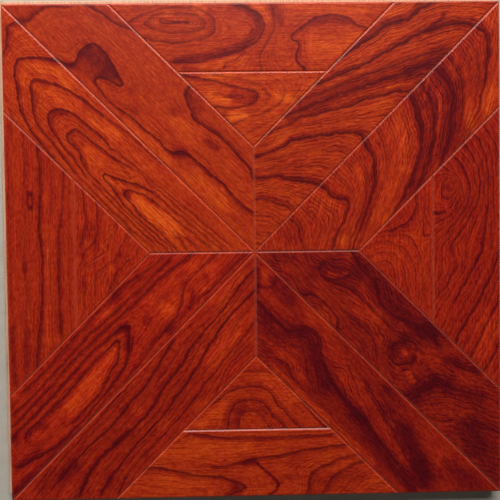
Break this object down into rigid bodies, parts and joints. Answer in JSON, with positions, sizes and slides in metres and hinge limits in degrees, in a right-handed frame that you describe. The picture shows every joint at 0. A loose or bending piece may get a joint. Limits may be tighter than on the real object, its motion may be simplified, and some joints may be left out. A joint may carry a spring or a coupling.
{
  "type": "engineered parquet floorboard",
  "caption": "Square engineered parquet floorboard: mitred stained hardwood strips, triangles and borders with bevelled joints on a plywood core with tongues and grooves.",
  "frame": {"origin": "centre of the square face, on the plane of the back", "axes": "+Z out of the face, +Y towards the north edge with its tongue, +X towards the east edge with its groove"},
  "size_m": [0.4042, 0.4042, 0.015],
  "materials": {
    "face_wood": "red-orange stained hardwood with dark figure under gloss lacquer",
    "core_plywood": "raw pale plywood, sawn and milled edges"
  },
  "bodies": {
    "root": {"plywood_core": "core_plywood", "strip_north_west": "face_wood", "strip_north_east": "face_wood", "triangle_north": "face_wood", "border_north": "face_wood", "strip_west_south": "face_wood", "strip_west_north": "face_wood", "triangle_west": "face_wood", "border_west": "face_wood", "strip_south_east": "face_wood", "strip_south_west": "face_wood", "triangle_south": "face_wood", "border_south": "face_wood", "strip_east_north": "face_wood", "strip_east_south": "face_wood", "triangle_east": "face_wood", "border_east": "face_wood"}
  },
  "joints": []
}
